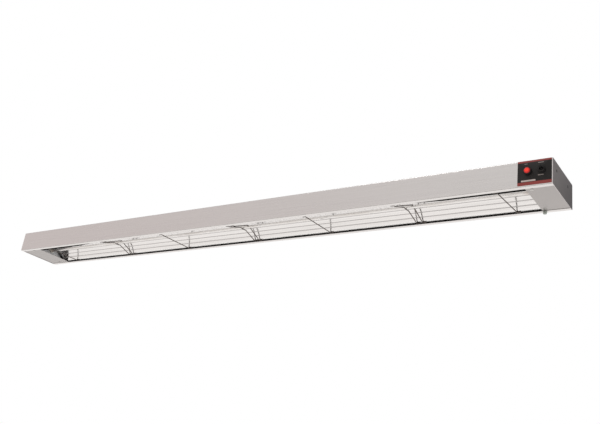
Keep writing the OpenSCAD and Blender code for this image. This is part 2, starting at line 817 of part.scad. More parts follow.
// Clips under the top that carry the long lead
module lead_clips() {
    outer = lead_radius + 1;
    color("darkgray") hung() for (n = [1:stations - 1])
        translate([-half_length + n * body_length / stations - clip_width / 2, lead_lane_y, 0]) difference() {
            union() {
                translate([0, 0, lead_lane_height]) rotate([0, 90, 0]) cylinder(h = clip_width, r = outer);
                translate([0, -outer, lead_lane_height])
                    cube([clip_width, 2 * outer, top_inside - seat_play - lead_lane_height]);
            }
            translate([-cut, 0, lead_lane_height]) rotate([0, 90, 0])
                cylinder(h = clip_width + 2 * cut, r = lead_radius + seat_play);
        }
}
module mount_nuts() {
    color("silver") hung() mount_places() translate([0, 0, top_inside - mount_nut_height]) difference() {
        cylinder(h = mount_nut_height, r = mount_nut_radius);
        translate([0, 0, -cut]) cylinder(h = mount_nut_height + 2 * cut, r = mount_bore);
    }
}

housing();
end_cap_left();
end_cap_right();
end_cap_screws();
cover_left();
cover_right();
cover_brackets();
cover_screws();
cover_hex_screw();
reflector();
reflector_end_left();
reflector_end_right();
reflector_hangers();
hanger_rivets();
element_tube();
insulator_left();
insulator_right();
terminal_pins();
terminal_nuts();
guard_wire_1();
guard_wire_2();
guard_wire_3();
guard_wire_4();
cradle_wire_1();
cradle_wire_2();
cradle_wire_3();
retainer_wire_1();
retainer_wire_2();
retainer_wire_3();
control_panel();
pilot_lens();
pilot_body();
pilot_nut();
switch_body();
switch_bushing();
switch_nut();
switch_lever();
terminal_block();
terminal_screws();
line_lead();
switched_lead();
return_lead();
pilot_lead_live();
pilot_lead_neutral();
ground_lead();
ground_screw();
ground_nut();
inlet_bushing();
lead_clips();
mount_nuts();
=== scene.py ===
import json
import math

import bpy
import numpy as np
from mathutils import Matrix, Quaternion, Vector


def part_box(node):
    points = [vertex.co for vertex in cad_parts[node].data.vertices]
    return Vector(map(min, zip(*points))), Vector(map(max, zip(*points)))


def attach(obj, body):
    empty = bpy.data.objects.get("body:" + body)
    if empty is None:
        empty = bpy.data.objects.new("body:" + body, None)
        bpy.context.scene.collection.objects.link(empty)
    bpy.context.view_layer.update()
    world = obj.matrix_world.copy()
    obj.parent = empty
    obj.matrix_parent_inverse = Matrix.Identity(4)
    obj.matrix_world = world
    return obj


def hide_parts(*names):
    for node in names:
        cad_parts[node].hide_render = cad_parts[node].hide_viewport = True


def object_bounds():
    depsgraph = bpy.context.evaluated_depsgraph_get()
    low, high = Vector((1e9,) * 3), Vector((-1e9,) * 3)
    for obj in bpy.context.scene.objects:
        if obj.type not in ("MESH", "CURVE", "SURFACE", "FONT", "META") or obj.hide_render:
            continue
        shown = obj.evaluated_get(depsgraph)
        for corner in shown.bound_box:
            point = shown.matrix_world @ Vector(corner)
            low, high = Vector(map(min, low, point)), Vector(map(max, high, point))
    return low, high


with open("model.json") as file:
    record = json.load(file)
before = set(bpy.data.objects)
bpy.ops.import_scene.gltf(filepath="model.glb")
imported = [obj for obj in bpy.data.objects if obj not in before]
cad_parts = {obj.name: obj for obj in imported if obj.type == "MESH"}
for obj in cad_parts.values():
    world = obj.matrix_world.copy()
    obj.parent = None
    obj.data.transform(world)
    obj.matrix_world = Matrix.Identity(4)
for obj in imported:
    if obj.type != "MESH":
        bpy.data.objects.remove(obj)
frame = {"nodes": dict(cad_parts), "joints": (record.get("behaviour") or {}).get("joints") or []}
cad_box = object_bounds()


# ---- Studio -------------------------------------------------------------------------------
# The warmer hangs high over a plain pale floor, in an even white room. One softbox stands in
# front, high on the left, and the side past the control end is left dark.
class Term:
    """An output socket on its way through a node tree: sums on it add Math nodes."""

    def __init__(self, tree, socket):
        self.tree, self.socket = tree, socket

    def __add__(self, other):
        return self.tree.math("ADD", self, other)

    def __sub__(self, other):
        return self.tree.math("SUBTRACT", self, other)

    def __rsub__(self, other):
        return self.tree.math("SUBTRACT", other, self)

    def __mul__(self, other):
        return self.tree.math("MULTIPLY", self, other)

    def __truediv__(self, other):
        return self.tree.math("DIVIDE", self, other)

    def __pow__(self, other):
        return self.tree.math("POWER", self, other)

    def __mod__(self, other):
        return self.tree.math("FLOORED_MODULO", self, other)

    def __lt__(self, other):
        return self.tree.math("LESS_THAN", self, other)

    def __gt__(self, other):
        return self.tree.math("GREATER_THAN", self, other)

    def __abs__(self):
        return self.tree.math("ABSOLUTE", self)

    __radd__ = __add__
    __rmul__ = __mul__


class Tree:
    """A node tree that is written as expressions."""

    def __init__(self, owner):
        owner.use_nodes = True
        self.nodes, self.links = owner.node_tree.nodes, owner.node_tree.links

    def node(self, kind, settings=None, inputs=None, output=0):
        """Adds a node: its settings first, then a value or a link for each named socket."""
        made = self.nodes.new(kind)
        for name, value in (settings or {}).items():
            setattr(made, name, value)
        for name, value in (inputs or {}).items():
            self.feed(made.inputs[name], value)
        return Term(self, made.outputs[output])

    def feed(self, socket, value):
        if isinstance(value, Term):
            self.links.new(value.socket, socket)
        else:
            socket.default_value = value

    def math(self, operation, *values):
        return self.node("ShaderNodeMath", {"operation": operation}, dict(enumerate(values)))

    def mix(self, share, first, second):
        """first where share is 0, second where it is 1; colours carry four numbers."""
        return self.node("ShaderNodeMix", {"data_type": "RGBA"}, {0: share, 6: first, 7: second}, 2)

    def ramp(self, value, low, high, first=0.0, second=1.0):
        """Runs smoothly from first, where value is low, to second, where it is high."""
        return self.node("ShaderNodeMapRange", {"interpolation_type": "SMOOTHSTEP"},
                         {0: value, 1: low, 2: high, 3: first, 4: second})

    def split(self, vector):
        parts = self.node("ShaderNodeSeparateXYZ", None, {0: vector})
        return [Term(self, socket) for socket in parts.socket.node.outputs]


room = bpy.data.worlds.new("room")
bpy.context.scene.world = room
air = Tree(room)
east, north, up = air.split(air.node("ShaderNodeTexCoord"))
facing = -0.42 * east - 0.82 * north
wall = air.ramp(facing, -0.75, 0.80, 0.18, 0.74)
bright = wall + (0.86 - wall) * air.ramp(up, 0.10, -0.24)
tint = air.mix(air.ramp(east, -1.0, -0.1), (1.0, 0.90, 0.885, 1.0), (1.0, 0.985, 0.97, 1.0))
to_camera = air.node("ShaderNodeLightPath")
background = air.nodes["Background"]
air.feed(background.inputs["Color"], air.mix(to_camera, tint, (1.0, 1.0, 1.0, 1.0)))
air.feed(background.inputs["Strength"], bright + (1 - bright) * to_camera)
bpy.context.scene.view_settings.view_transform = "Standard"

eye = Vector((1.366461, -1.588715, -0.809437))
aim = Vector((0.25364, -0.0762, -0.05428))
lean = math.radians(8.0)
camera = bpy.data.objects.new("camera", bpy.data.cameras.new("camera"))
camera.data.lens, camera.data.sensor_width = 46.0, 36.0
camera.rotation_mode = "QUATERNION"
camera.location = eye
camera.rotation_quaternion = (aim - eye).to_track_quat("-Z", "Y") @ Quaternion((0, 0, 1), lean)
bpy.context.scene.collection.objects.link(camera)
bpy.context.scene.camera = camera


def softbox(name, place, width, watts):
    """A square area light that stands at a place and faces the middle of the warmer."""
    lamp = bpy.data.lights.new(name, "AREA")
    lamp.size, lamp.energy = width, watts
    stand = bpy.data.objects.new(name, lamp)
    stand.location = place
    stand.rotation_mode = "QUATERNION"
    stand.rotation_quaternion = (-Vector(place)).to_track_quat("-Z", "Y")
    bpy.context.scene.collection.objects.link(stand)


softbox("softbox_front", (-1.0, -1.8, 3.6), 1.2, 32)


# ---- Housing ------------------------------------------------------------------------------
# One long sheet of stainless steel, brushed lengthwise, folded into a channel with two lips
# turned in under it. The reflector's hangers are spot welded under its top.
class Finish(Tree):
    """A material: its node tree, which ends in a Principled shader, and object coordinates."""

    def __init__(self, name, **plain):
        self.material = bpy.data.materials.new(name)
        super().__init__(self.material)
        self.shader = self.nodes["Principled BSDF"]
        for key, value in plain.items():
            self.shader.inputs[key.replace("_", " ")].default_value = value
        self.place = self.node("ShaderNodeTexCoord", output="Object")

    def noise(self, stretch, detail=2.0):
        """Noise that is drawn out along an axis where stretch, in waves a metre, is small."""
        where = self.node("ShaderNodeVectorMath", {"operation": "MULTIPLY"},
                          {0: self.place, 1: stretch})
        return self.node("ShaderNodeTexNoise", None, {"Vector": where, "Scale": 1.0, "Detail": detail})

    def set(self, name, value):
        self.feed(self.shader.inputs[name], value)

    def bump(self, height, depth):
        """Relief: height, from 0 to 1, stands for a depth in metres."""
        self.set("Normal", self.node("ShaderNodeBump", None,
                                     {"Strength": 1.0, "Distance": depth, "Height": height}))

    def shade(self, colour, dark, share):
        """The base colour runs from dark, where share is 0, to colour, where it is 1."""
        self.set("Base Color", self.mix(share, dark, colour))

    def lay_painted_shade(self, mask, colour, roughness):
        """Lays painted shade, a dull colour and a roughness, over what is there, where the mask is 1."""
        under, gloss = (self.shader.inputs[name].links[0].from_socket for name in ("Base Color", "Roughness"))
        self.set("Base Color", self.mix(mask, Term(self, under), colour))
        gloss = Term(self, gloss)
        self.set("Roughness", gloss + (roughness - gloss) * mask)
        self.set("Metallic", 1 - 0.8 * mask)


def brushed(name, colour, roughness, grain, depth=0.00002, streak=0.10, smudge=0.5):
    """Rolled or brushed metal. Fine noise drawn out along the grain gives the streaks, and
    slow noise gives the smudges: both shift the colour and the roughness a little."""
    finish = Finish(name, Metallic=1.0, IOR=2.4)
    fine = finish.noise(grain, 3.0)
    slow = finish.noise((2.2, 9.0, 9.0), 2.0)
    worn = finish.noise((38.0, 38.0, 38.0), 4.0)
    dark = tuple(part * (1 - streak) for part in colour[:3]) + (1.0,)
    finish.shade(colour, dark, finish.ramp(fine * 0.7 + slow * 0.3, 0.3, 0.62))
    finish.set("Roughness", roughness + 0.16 * (fine - 0.5) + 0.12 * smudge * (slow - 0.5)
               + 0.10 * smudge * (worn - 0.5))
    finish.bump(fine, depth)
    return finish


def dress(finish, *nodes):
    """Gives CAD nodes that keep their shape a finish."""
    for node in nodes:
        shown = frame["nodes"][node]
        if not shown.material_slots:
            shown.data.materials.append(None)
        for slot in shown.material_slots:
            slot.link = "OBJECT"
            slot.material = finish.material


along, across = (5.0, 900.0, 900.0), (900.0, 6.0, 900.0)
body_low, body_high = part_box("housing")
left_end, rear = body_low.x, body_high.y
lips = body_low.z
full_length = cad_box[1].x - cad_box[0].x
station_step = full_length / 7
skin = brushed("stainless_brushed", (0.74, 0.72, 0.71, 1.0), 0.30, along, streak=0.04)
_, skin_y, skin_z = skin.split(skin.place)
sheet_middle = 0.0004
# The inside of the channel is painted near black and dull: painted shade where little light reaches, seen
# through the gaps at the lips.
inside = (abs(skin_y) < rear - sheet_middle) * (skin_z < -sheet_middle) * (skin_z > lips + sheet_middle)
skin.lay_painted_shade(inside, (0.045, 0.040, 0.038, 1.0), 0.65)
dress(skin, "housing")


# ---- End caps -----------------------------------------------------------------------------
# Two pressed stainless caps close the ends. Their flanges sit inside the housing, and pan head
# screws hold them through the rear wall. Each has two holes for a hanging bracket.
cap_skin = brushed("stainless_cap", (0.76, 0.71, 0.71, 1.0), 0.34, across)
_, cap_y, cap_z = cap_skin.split(cap_skin.place)
# The cap's face is painted lighter towards the front and the top and darker towards the rear and the bottom:
# painted light and shade, multiplied into the brushed colour.
cap_painted_light_and_shade = cap_skin.node("ShaderNodeMix", {"data_type": "RGBA", "blend_type": "MULTIPLY"}, {
    0: 1.0, 6: Term(cap_skin, cap_skin.shader.inputs["Base Color"].links[0].from_socket),
    7: cap_skin.mix(cap_skin.ramp(cap_y - cap_z, -0.05, 0.12), (1, 1, 1, 1), (0.62, 0.62, 0.64, 1))}, 2)
cap_skin.set("Base Color", cap_painted_light_and_shade)
hanger_y, hanger_z = (-0.047, 0.039), lips + 0.043
# A near black disc is painted round each bracket hole: painted shade in and round the holes.
hole_painted_shade = sum(cap_skin.ramp(((cap_y - y) ** 2.0 + (cap_z - hanger_z) ** 2.0) ** 0.5, 0.0046, 0.0028)
            for y in hanger_y)
cap_skin.lay_painted_shade(hole_painted_shade, (0.03, 0.028, 0.028, 1.0), 0.6)
dress(cap_skin, "end_cap_left", "end_cap_right")


def turned(height, radius, centre, axis, sides=48, closed=False):
    """A turned shell: each profile point goes round the axis at its radius and its height, and
    either may also vary round the turn. An open profile is capped at both ends, and a closed
    one joins its last ring to its first."""
    angle = np.arange(sides) * 2 * np.pi / sides
    height, radius = (np.array(part, float) for part in (height, radius))
    height = (height[:, None] if height.ndim == 1 else height) + 0 * angle
    radius = (radius[:, None] if radius.ndim == 1 else radius) + 0 * angle
    axis = np.array(axis, float) / np.linalg.norm(axis)
    side = np.cross(axis, (0, 0, 1) if abs(axis[2]) < 0.9 else (1, 0, 0))
    side /= np.linalg.norm(side)
    other = np.cross(axis, side)
    ring = np.cos(angle)[:, None] * side + np.sin(angle)[:, None] * other
    points = np.array(centre) + height[..., None] * axis + radius[..., None] * ring
    return shell(points, join_rows=closed, cap=not closed)


def shell(points, join_rows=False, join_columns=True, cap=True):
    """A grid of points as (vertices, faces): four neighbours make a face, a joined side meets
    its first line again, and a cap is a fan of triangles round the middle of an end row."""
    rows, columns = points.shape[:2]
    number = np.arange(rows * columns).reshape(rows, columns)
    vertices = points.reshape(-1, 3)
    if join_rows:
        number = np.vstack([number, number[:1]])
    if join_columns:
        number = np.hstack([number, number[:, :1]])
    faces = np.stack([number[:-1, :-1], number[:-1, 1:], number[1:, 1:], number[1:, :-1]], -1)
    faces = faces.reshape(-1, 4).tolist()
    if cap:
        middles = np.stack([points[0].mean(0), points[-1].mean(0)])
        vertices = np.vstack([vertices, middles])
        for row, middle, turn in ((number[0], rows * columns, -1), (number[-1], rows * columns + 1, 1)):
            pairs = np.stack([row[:-1], row[1:]], -1)[:, ::turn]
            faces += np.hstack([np.full((len(pairs), 1), middle), pairs]).tolist()
    return vertices, faces


def piece(name, shells, finish, nodes, body="warmer", crease=35.0):
    """Joins shells into one smooth piece with sharp creases, and puts it in the CAD nodes' place."""
    starts = np.cumsum([0] + [len(vertices) for vertices, _ in shells])
    faces = [[corner + int(start) for corner in face]
             for start, (_, part) in zip(starts, shells) for face in part]
    mesh = bpy.data.meshes.new(name)
    mesh.from_pydata(np.vstack([vertices for vertices, _ in shells]), [], faces)
    mesh.polygons.foreach_set("use_smooth", np.ones(len(faces), bool))
    mesh.set_sharp_from_angle(angle=math.radians(crease))
    mesh.materials.append(finish.material)
    made = bpy.data.objects.new(name, mesh)
    bpy.context.scene.collection.objects.link(made)
    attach(made, body)
    if nodes:
        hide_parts(*nodes)
    return made


def cross_recess(height, radius, reach, width, depth):
    """Sinks a cross into a turned head: the sink is deepest where a point is near either arm's
    middle line, and fades at the arms' edges and ends."""
    angle = np.arange(radius.shape[1]) * 2 * np.pi / radius.shape[1]
    x, y = abs(radius * np.cos(angle)), abs(radius * np.sin(angle))
    arm = np.minimum(np.maximum(x / width, y / reach), np.maximum(y / width, x / reach))
    return height - depth * np.clip(1.5 - arm, 0, 1)


def pan_head(centre, axis, radius, rise, sides=64):
    """A pan head with a cross recess: a short round rim, then a dome whose height falls with
    the square of the distance from the middle."""
    share = np.concatenate([[1.0, 1.0, 0.985, 0.95], np.linspace(0.9, 0.03, 22)])
    level = np.concatenate([[0.0, 0.45, 0.6, 0.68], 1 - 0.34 * np.linspace(0.9, 0.03, 22) ** 2])
    radii = (share * radius)[:, None] + np.zeros(sides)
    heights = (level * rise)[:, None] + np.zeros(sides)
    sunk = cross_recess(heights, radii, 0.56 * radius, 0.13 * radius, 0.5 * rise)
    return turned(np.maximum(sunk, 0.2 * rise), radii, centre, axis, sides)


plated = brushed("screw_plated", (0.60, 0.59, 0.57, 1.0), 0.26, (400.0, 400.0, 400.0), 0.00001)
screw_low, screw_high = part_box("end_cap_screws")
cap_shank, cap_head_radius, cap_head_rise = 0.002, 0.004, 0.002
cap_screw_x = (screw_high.x - cap_head_radius, screw_low.x + cap_head_radius)
cap_screw_z = (screw_low.z + cap_head_radius, screw_high.z - cap_head_radius)
cap_shells = []
for x in cap_screw_x:
    for z in cap_screw_z:
        cap_shells += [
            pan_head((x, rear, z), (0, 1, 0), cap_head_radius, cap_head_rise),
            turned([-0.007, -0.0066, -0.0002], [0.0014, cap_shank, cap_shank], (x, rear, z), (0, 1, 0), 32),
        ]
piece("cap_screws", cap_shells, plated, ["end_cap_screws"])


# ---- Reflector ----------------------------------------------------------------------------
# A bright rolled sheet, bent lengthwise into shallow facets, hangs over the element. Its edges
# stay free, so they lift a little between the ends, and the sheet is never quite flat.
mirror_low, mirror_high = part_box("reflector")
mirror_half = mirror_high.y
facet_width = 0.0134805
facet_turns = np.radians([44.0, 40.0, 34.0, 15.0, 0.0])
edge_bow, edge_pull = 0.0022, 0.0094


def rounded(points, radius, steps=5):
    """A line of points with each corner turned into an arc: a rational curve from one leg to
    the other, whose middle weight is the sine of half the corner, is exactly an arc."""
    before, corner, after = points[:-2], points[1:-1], points[2:]
    to_before, to_after = before - corner, after - corner
    long_before, long_after = (np.linalg.norm(leg, axis=1, keepdims=True) for leg in (to_before, to_after))
    to_before, to_after = to_before / long_before, to_after / long_after
    half = np.arccos(np.clip((to_before * to_after).sum(1, keepdims=True), -1, 1)) / 2
    reach = np.minimum(radius / np.tan(half), 0.49 * np.minimum(long_before, long_after))
    start, end = (corner + leg * reach for leg in (to_before, to_after))
    t = np.linspace(0, 1, steps + 1)[None, :, None]
    weight = np.sin(half)[:, None]
    near, middle, far = (1 - t) ** 2, 2 * t * (1 - t) * weight, t ** 2
    curve = near * start[:, None] + middle * corner[:, None] + far * end[:, None]
    curve = (curve / (near + middle + far)).reshape(-1, points.shape[1])
    return np.vstack([points[:1], curve, points[-1:]])


def mirror_sheet(count=220):
    """The section is a chain of facets, mirrored about the middle and rounded at the creases.
    The front edge is lifted by a bow, most at the middle of the length, and drawn inwards near
    both ends. Slow ripples are a few sine waves of the length and of the place across it."""
    rise = np.concatenate([[0], np.cumsum(np.sin(facet_turns))]) * facet_width + mirror_low.z
    run = mirror_half - np.concatenate([[0], np.cumsum(np.cos(facet_turns))]) * facet_width
    side = np.stack([run[:-1], rise[:-1]], 1)
    section = rounded(np.vstack([side, side[::-1] * (-1, 1)]), 0.006, 5)
    section = np.vstack([section[:1], (section[:-1] + section[1:]) / 2, section[1:]])
    section = section[np.argsort(-section[:, 0])]
    x = np.linspace(mirror_low.x, mirror_high.x, count)
    share = abs(2 * (x - x[0]) / (x[-1] - x[0]) - 1)[:, None]
    edge = np.clip(-section[:, 0] / mirror_half, 0, 1) ** 3
    bow = edge_bow * (1 - share ** 2) * edge
    pull = edge_pull * np.clip((share - 0.66) / 0.10, 0, 1) * edge
    waves = sum(np.sin(2 * np.pi * (x[:, None] * n + 3.1 * n ** 2 * 0.17) + 21 * section[:, 0] * m)
                for n, m in ((2.3, 1.0), (3.9, -2.0), (6.1, 3.0), (9.7, 1.7)))
    lift = bow + 0.00005 * waves
    points = np.stack([x[:, None] + 0 * lift, section[:, 0] + pull, section[:, 1] + lift], -1)
    return shell(points[::-1], join_columns=False, cap=False)


bright_sheet = brushed("reflector_bright", (0.90, 0.89, 0.885, 1.0), 0.15, (2.0, 260.0, 260.0), 0.00003, 0.08)
crease_y = abs(bright_sheet.split(bright_sheet.place)[1])
crease_at = mirror_half - np.cumsum(np.cos(facet_turns))[:-1] * facet_width
# Dark grey lines are painted along the creases: painted shade where the facets turn.
creases = sum(bright_sheet.ramp(abs(crease_y - float(y)), 0.0017, 0.0004) for y in crease_at)
bright_sheet.lay_painted_shade(creases * 0.75, (0.34, 0.325, 0.32, 1.0), 0.4)
# The back and the cut edges of the sheet are painted near black and rough: painted shade on the side that
# faces up into the housing.
back_painted_shade = brushed("reflector_back_painted_shade", (0.10, 0.095, 0.09, 1.0), 0.60, (2.0, 90.0, 90.0), 0.00003, 0.2)
mirror = piece("reflector_sheet", [mirror_sheet()], bright_sheet, ["reflector"],
               crease=60)
mirror.data.materials.append(back_painted_shade.material)
wall_of_sheet = mirror.modifiers.new("sheet", "SOLIDIFY")
wall_of_sheet.thickness, wall_of_sheet.offset = 0.0008, -1.0
wall_of_sheet.material_offset = wall_of_sheet.material_offset_rim = 1

zinc = brushed("galvanised", (0.52, 0.53, 0.54, 1.0), 0.42, (60.0, 60.0, 60.0), 0.00003, 0.25)
dress(zinc, "reflector_hangers")


# ---- Rivets -------------------------------------------------------------------------------
# Domed blind rivets hold the crown of the reflector to its hangers.
def rivet(x, crown):
    """A shank with two domed heads: each head's height is the root of one less the square of
    its distance from the middle."""
    share = np.cos(np.linspace(0, np.pi / 2 * 0.97, 10))
    dome = np.sqrt(1 - share ** 2)
    return turned(np.concatenate([-dome[::-1] * 0.0009, 0.0017 + dome * 0.0009]),
                  np.concatenate([share[::-1], share]) * 0.003, (x, 0, crown), (0, 0, 1), 40)


rivet_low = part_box("hanger_rivets")[0]
crown = rivet_low.z + 0.0009
rivet_x = left_end - 0.0009 + (np.arange(0, 7, 2) + 0.5) * station_step
piece("rivets", [rivet(x, crown) for x in rivet_x], plated, ["hanger_rivets"])


# ---- Reflector ends and insulators --------------------------------------------------------
# Cut sheet plates close the ends of the reflector. An unglazed ceramic bush in each one keeps
# the live end of the element off the metal.
dress(zinc, "reflector_end_left", "reflector_end_right")

clay = Finish("ceramic", Roughness=0.72)
clay_grain = clay.noise((900.0, 900.0, 900.0), 3.0)
clay_stain = clay.noise((70.0, 70.0, 70.0), 3.0)
clay.shade((0.84, 0.81, 0.74, 1.0), (0.62, 0.57, 0.49, 1.0), clay.ramp(clay_stain, 0.25, 0.6))
clay.set("Roughness", 0.62 + 0.25 * clay_grain)
clay.bump(clay_grain, 0.00008)

tube_low, tube_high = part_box("element_tube")
tube_axis = (tube_low.z + tube_high.z) / 2
for name, inner, way in (("insulator_left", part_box("insulator_left")[1].x, -1),
                         ("insulator_right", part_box("insulator_right")[0].x, 1)):
    bore, neck, collar, soft = 0.0041, 0.007, 0.010, 0.0005
    bush = turned([soft, 0, 0, soft, 0.0049, 0.0049, 0.0054, 0.0074, 0.0079, 0.0079, 0.0104, 0.0109, 0.0109],
                  [bore, bore + soft, neck - soft, neck, neck, collar - soft, collar, collar,
                   collar - soft, neck, neck, neck - soft, bore],
                  (inner, 0, tube_axis), (way, 0, 0), 56, closed=True)
    piece("bush_" + name[10:], [bush], clay, [name])


# ---- Element ------------------------------------------------------------------------------
# A metal sheath over a coil packed in powder, drawn down to a smooth tube. The heat has tinted
# it straw and blue near the ends, and each end is crimped round its threaded terminal pin.
sheath = Finish("element_sheath", Metallic=1.0, IOR=2.4)
sheath_x = sheath.split(sheath.place)[0]
sheath_fine = sheath.noise((30.0, 1200.0, 1200.0), 3.0)
sheath_slow = sheath.noise((12.0, 60.0, 60.0), 2.0)
clean = sheath.mix(sheath.ramp(sheath_slow, 0.3, 0.7), (0.80, 0.78, 0.76, 1), (0.88, 0.87, 0.86, 1))
tinted = sheath.mix(sheath_fine, (0.55, 0.43, 0.30, 1), (0.44, 0.42, 0.47, 1))
at_end = sheath.ramp(abs(sheath_x), tube_high.x - 0.05, tube_high.x - 0.015)
sheath.set("Base Color", sheath.mix(at_end, clean, tinted))
sheath.set("Roughness", 0.24 + 0.12 * sheath_fine + 0.08 * sheath_slow)
sheath.bump(sheath_fine, 0.00001)

tube_radius = (tube_high.z - tube_low.z) / 2
tube_x = np.concatenate([[0, 0.0004, 0.0012, 0.004, 0.0043, 0.0047, 0.005], np.linspace(0.02, 0.5, 90)])
tube_share = np.concatenate([[0.80, 0.93, 1, 1, 0.97, 0.97, 1], np.ones(90)])
tube_length = tube_high.x - tube_low.x
tube_x[-90:] = np.linspace(0.02, tube_length / 2, 90)
tube_x = np.concatenate([tube_x, tube_length - tube_x[-2::-1]]) + tube_low.x
tube_share = np.concatenate([tube_share, tube_share[-2::-1]])
piece("element_sheath", [turned(tube_x, tube_share * tube_radius, (0, 0, tube_axis), (1, 0, 0), 40)],
      sheath, ["element_tube"])

brass = brushed("brass_terminal", (0.78, 0.58, 0.27, 1.0), 0.30, (500.0, 500.0, 500.0), 0.00001)
pin_low, pin_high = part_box("terminal_pins")


def threaded(start, length, core, crest, pitch, centre, axis, sides=32):
    """A threaded rod: the radius swings between the core and the crest as a triangle wave of
    height over pitch less the turn, so the crest climbs one pitch a turn."""
    height = np.linspace(start, start + length, max(8, int(length / pitch * 8)))
    turn = np.arange(sides) / sides
    phase = (height[:, None] / pitch - turn) % 1
    radius = core + (crest - core) * (1 - abs(2 * phase - 1))
    fade = np.minimum(1, np.minimum(height - start, start + length - height)[:, None] / pitch + 0.3)
    return turned(height, core + (radius - core) * fade, centre, axis, sides)


pin_length = 0.018
piece("pins", [threaded(0, pin_length, 0.0017, 0.002, 0.0007, (pin_low.x, 0, tube_axis), (1, 0, 0)),
               threaded(0, pin_length, 0.0017, 0.002, 0.0007, (pin_high.x, 0, tube_axis), (-1, 0, 0))],
      brass, ["terminal_pins"])
dress(plated, "terminal_nuts")


# ---- Wire guards --------------------------------------------------------------------------
# Spring wires, darkened by the heat, cross the opening and hook round the edges of the reflector
# a little askew. Four lie across. At the other stations one dips under the element, one arcs over.
wire_finish = Finish("guard_wire", Metallic=1.0, IOR=2.4)
wire_fine = wire_finish.noise((500.0, 30.0, 500.0), 3.0)
wire_stain = wire_finish.noise((80.0, 80.0, 80.0), 3.0)
wire_finish.shade((0.15, 0.13, 0.12, 1.0), (0.06, 0.05, 0.045, 1.0), wire_finish.ramp(wire_stain, 0.3, 0.6))
wire_finish.set("Roughness", 0.28 + 0.2 * wire_stain + 0.08 * wire_fine)
wire_finish.bump(wire_fine, 0.00001)


def drawn(line, radius, sides=20, up=(0, 0, 1)):
    """A wire along a line of points: each ring stands square to the line, in a frame made
    from the heading and an upward vector, and the cut ends are rounded off by short rings."""
    heading_in, heading_out = (leg / np.linalg.norm(leg) for leg in (line[1] - line[0], line[-1] - line[-2]))
    steps = np.array([0, 0.12, 0.35, 0.7]) * radius
    line = np.vstack([line[0] + steps[:, None] * heading_in, line[1:-1],
                      line[-1] - steps[::-1, None] * heading_out])
    share = np.concatenate([[0.66, 0.86, 0.97, 1], np.ones(len(line) - 8), [1, 0.97, 0.86, 0.66]])
    heading = np.gradient(line, axis=0)
    heading /= np.linalg.norm(heading, axis=1, keepdims=True)
    side = np.cross(heading, up)
    side /= np.linalg.norm(side, axis=1, keepdims=True)
    other = np.cross(heading, side)
    angle = np.arange(sides) * 2 * np.pi / sides
    ring = np.cos(angle)[:, None] * side[:, None] + np.sin(angle)[:, None] * other[:, None]
    return shell(line[:, None] + (share * radius)[:, None, None] * ring)


wire_radius, wire_bend, hook = 0.00125, 0.0025, 0.009
wire_low = lips + 0.0003 + wire_radius
wire_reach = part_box("guard_wire_1")[1].y - wire_radius
wire_foot = mirror_half - wire_bend
wire_off = tube_radius + wire_radius + 0.0001
askew = 0.0068


def guard_line(kind, x):
    """The wire's corners, from hook to hook, then rounded. A guard runs straight across, a
    cradle rises to a shallow dip under the tube, and a retainer's legs touch an arc over it. All
    lean along the warmer in step with y, by nothing at the front hook and by askew at the rear."""
    feet = [(x, -wire_foot, wire_low), (x, wire_foot, wire_low)]
    middle = {"guard": [], "cradle": [], "retainer": []}
    dip = tube_axis - wire_off
    middle["cradle"] = [feet[0], (x, -3 * tube_radius, dip + wire_radius), (x, 0, dip),
                        (x, 3 * tube_radius, dip + wire_radius), feet[1]]
    rise = tube_axis - wire_low
    slope = math.atan(rise / wire_foot) + math.asin(wire_off / math.hypot(wire_foot, rise))
    middle["retainer"] = [feet[0], (x, 0, wire_low + wire_foot * math.tan(slope)), feet[1]]
    line = [(x - hook, -wire_reach, wire_low), (x, -wire_reach, wire_low), *middle[kind],
            (x, wire_reach, wire_low), (x + hook, wire_reach, wire_low)]
    line = np.array(line)
    line[:, 0] += askew * (1 + line[:, 1] / wire_reach) / 2
    return rounded(line, wire_bend, 6)


for kind, count in (("guard", 4), ("cradle", 3), ("retainer", 3)):
    for number in range(1, count + 1):
        node = f"{kind}_wire_{number}"
        low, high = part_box(node)
        x = (low.x + high.x) / 2
        piece(f"{kind}_{number}", [drawn(guard_line(kind, x), wire_radius)], wire_finish,
              [node])


# ---- Control panel ------------------------------------------------------------------------
# A thin aluminium plate with softened corners, printed black with a red band along its top and
# bottom, and with plain pale marks where the real one names its switch and its light.
panel_low, panel_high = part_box("control_panel")
lens_low, lens_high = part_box("pilot_lens")
lens_x, control_z = (lens_low.x + lens_high.x) / 2, (lens_low.z + lens_high.z) / 2
switch_x = (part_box("switch_nut")[0].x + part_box("switch_nut")[1].x) / 2

ink = Finish("panel_black", Specular_IOR_Level=0.2)
px, _, pz = ink.split(ink.place)


def bar(x, z, half_width, half_height):
    """1 inside a rectangle round a point of the panel, and 0 outside."""
    return (abs(px - x) < half_width) * (abs(pz - z) < half_height)


black, red, pale = (0.012, 0.011, 0.011, 1), (0.24, 0.045, 0.042, 1), (0.54, 0.47, 0.44, 1)
speck = ink.noise((1500.0, 1500.0, 1500.0), 2.0)
haze = ink.noise((60.0, 60.0, 60.0), 3.0)
top_band, bottom_band = 0.0046, 0.0074
bands = (pz > panel_high.z - top_band) + (pz < panel_low.z + bottom_band)
field = ink.mix(bands, ink.mix(haze, black, (0.024, 0.021, 0.020, 1)),
                ink.mix(haze, red, (0.31, 0.070, 0.062, 1)))
marks = (bar(switch_x - 0.0025, control_z + 0.0190, 0.0062, 0.0009) * 0.5
         + bar(switch_x - 0.0025, control_z - 0.0115, 0.0062, 0.0009) * 0.5
         + bar(lens_x - 0.0045, control_z + 0.0190, 0.0036, 0.0006) * 0.5
         + bar(panel_low.x + 0.0245, panel_low.z + 0.0104, 0.0160, 0.0019))
ink.set("Base Color", ink.mix(marks, field, pale))
ink.set("Roughness", 0.36 + 0.12 * speck + 0.12 * haze)
ink.bump(speck * 0.3 + marks + bands * 0.5, 0.00004)


